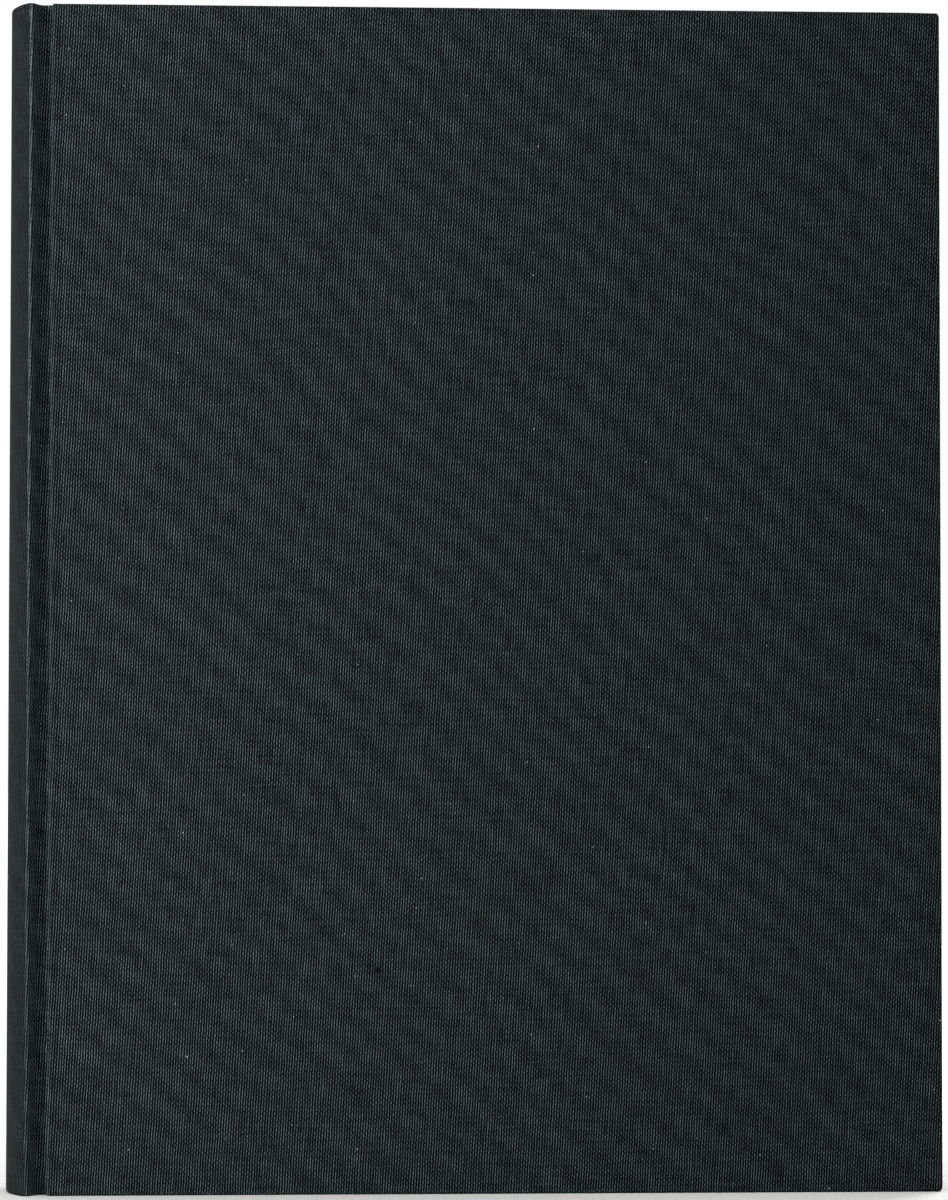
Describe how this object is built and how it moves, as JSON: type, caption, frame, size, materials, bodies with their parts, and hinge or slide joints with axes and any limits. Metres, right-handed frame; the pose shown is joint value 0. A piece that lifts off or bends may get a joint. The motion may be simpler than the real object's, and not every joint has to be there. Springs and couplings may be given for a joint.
{
  "type": "register book",
  "caption": "Case-bound register book in black woven book cloth, with a rounded back, grooved joints, opening covers and turning leaves.",
  "frame": {"origin": "middle of the bounding box at the height of the tail edges, on which the closed book stands", "axes": "+X from the spine to the fore edge, +Y from the front cover to the back cover, +Z from the tail up to the head"},
  "size_m": [0.2256, 0.0244, 0.2858],
  "materials": {
    "book_cloth": "plain-woven black book cloth, starched and pressed",
    "page_paper": "uncoated ruled writing paper",
    "endpaper": "heavy uncoated endpaper",
    "grey_board": "solid grey binder's board",
    "spine_card": "flexible manila card",
    "muslin": "open starched muslin",
    "kraft_paper": "brown kraft paper",
    "linen_thread": "waxed linen thread",
    "band_thread": "woven band over a cord core"
  },
  "bodies": {
    "text_block": {"section_01": "page_paper", "section_02": "page_paper", "section_03": "page_paper", "section_04": "page_paper", "section_05": "page_paper", "section_06": "page_paper", "section_07": "page_paper", "section_08": "page_paper", "section_09": "page_paper", "section_10": "page_paper", "section_11": "page_paper", "section_12": "page_paper", "kettle_stitch_tail": "linen_thread", "link_stitch_lower": "linen_thread", "link_stitch_upper": "linen_thread", "kettle_stitch_head": "linen_thread", "mull": "muslin", "spine_lining": "kraft_paper", "spine_card": "spine_card", "spine_cloth": "book_cloth", "head_band": "band_thread", "tail_band": "band_thread"},
    "front_cover": {"front_board": "grey_board", "front_cloth": "book_cloth", "front_pastedown": "endpaper", "front_joint_cloth": "book_cloth", "front_mull_flange": "muslin", "front_endpaper_joint": "endpaper"},
    "back_cover": {"back_board": "grey_board", "back_cloth": "book_cloth", "back_pastedown": "endpaper", "back_joint_cloth": "book_cloth", "back_mull_flange": "muslin", "back_endpaper_joint": "endpaper"},
    "front_flyleaf": {"front_flyleaf": "endpaper", "front_flyleaf_gutter": "endpaper"},
    "leaf_1": {"leaf_1": "page_paper", "leaf_1_gutter": "page_paper"},
    "leaf_2": {"leaf_2": "page_paper", "leaf_2_gutter": "page_paper"},
    "leaf_3": {"leaf_3": "page_paper", "leaf_3_gutter": "page_paper"},
    "back_flyleaf": {"back_flyleaf": "endpaper", "back_flyleaf_gutter": "endpaper"}
  },
  "joints": [
    {"name": "front_cover_hinge", "type": "hinge", "parent": "text_block", "child": "front_cover", "pos_m": [-0.10825, -0.01029, 0.1429], "axis": [0, 0, -1], "range_deg": [0, 180], "deforming": ["front_joint_cloth", "front_mull_flange", "front_endpaper_joint"]},
    {"name": "back_cover_hinge", "type": "hinge", "parent": "text_block", "child": "back_cover", "pos_m": [-0.10825, 0.01029, 0.1429], "axis": [0, 0, 1], "range_deg": [0, 180], "deforming": ["back_joint_cloth", "back_mull_flange", "back_endpaper_joint"]},
    {"name": "front_flyleaf_turn", "type": "hinge", "parent": "text_block", "child": "front_flyleaf", "pos_m": [-0.10825, -0.01029, 0.1429], "axis": [0, 0, -1], "range_deg": [0, 180], "deforming": ["front_flyleaf_gutter"]},
    {"name": "leaf_1_turn", "type": "hinge", "parent": "text_block", "child": "leaf_1", "pos_m": [-0.10825, -0.01029, 0.1429], "axis": [0, 0, -1], "range_deg": [0, 180], "deforming": ["leaf_1_gutter"]},
    {"name": "leaf_2_turn", "type": "hinge", "parent": "text_block", "child": "leaf_2", "pos_m": [-0.10825, -0.01029, 0.1429], "axis": [0, 0, -1], "range_deg": [0, 180], "deforming": ["leaf_2_gutter"]},
    {"name": "leaf_3_turn", "type": "hinge", "parent": "text_block", "child": "leaf_3", "pos_m": [-0.10825, -0.01029, 0.1429], "axis": [0, 0, -1], "range_deg": [0, 180], "deforming": ["leaf_3_gutter"]},
    {"name": "back_flyleaf_turn", "type": "hinge", "parent": "text_block", "child": "back_flyleaf", "pos_m": [-0.10825, 0.01029, 0.1429], "axis": [0, 0, 1], "range_deg": [0, 180], "deforming": ["back_flyleaf_gutter"]}
  ],
  "couplings": [
    {"joint": "front_flyleaf_turn", "follows": "front_cover_hinge", "ratio": 0.94},
    {"joint": "leaf_1_turn", "follows": "front_cover_hinge", "ratio": 0.78},
    {"joint": "leaf_2_turn", "follows": "front_cover_hinge", "ratio": 0.56},
    {"joint": "leaf_3_turn", "follows": "front_cover_hinge", "ratio": 0.3},
    {"joint": "back_flyleaf_turn", "follows": "back_cover_hinge", "ratio": 0.9}
  ]
}
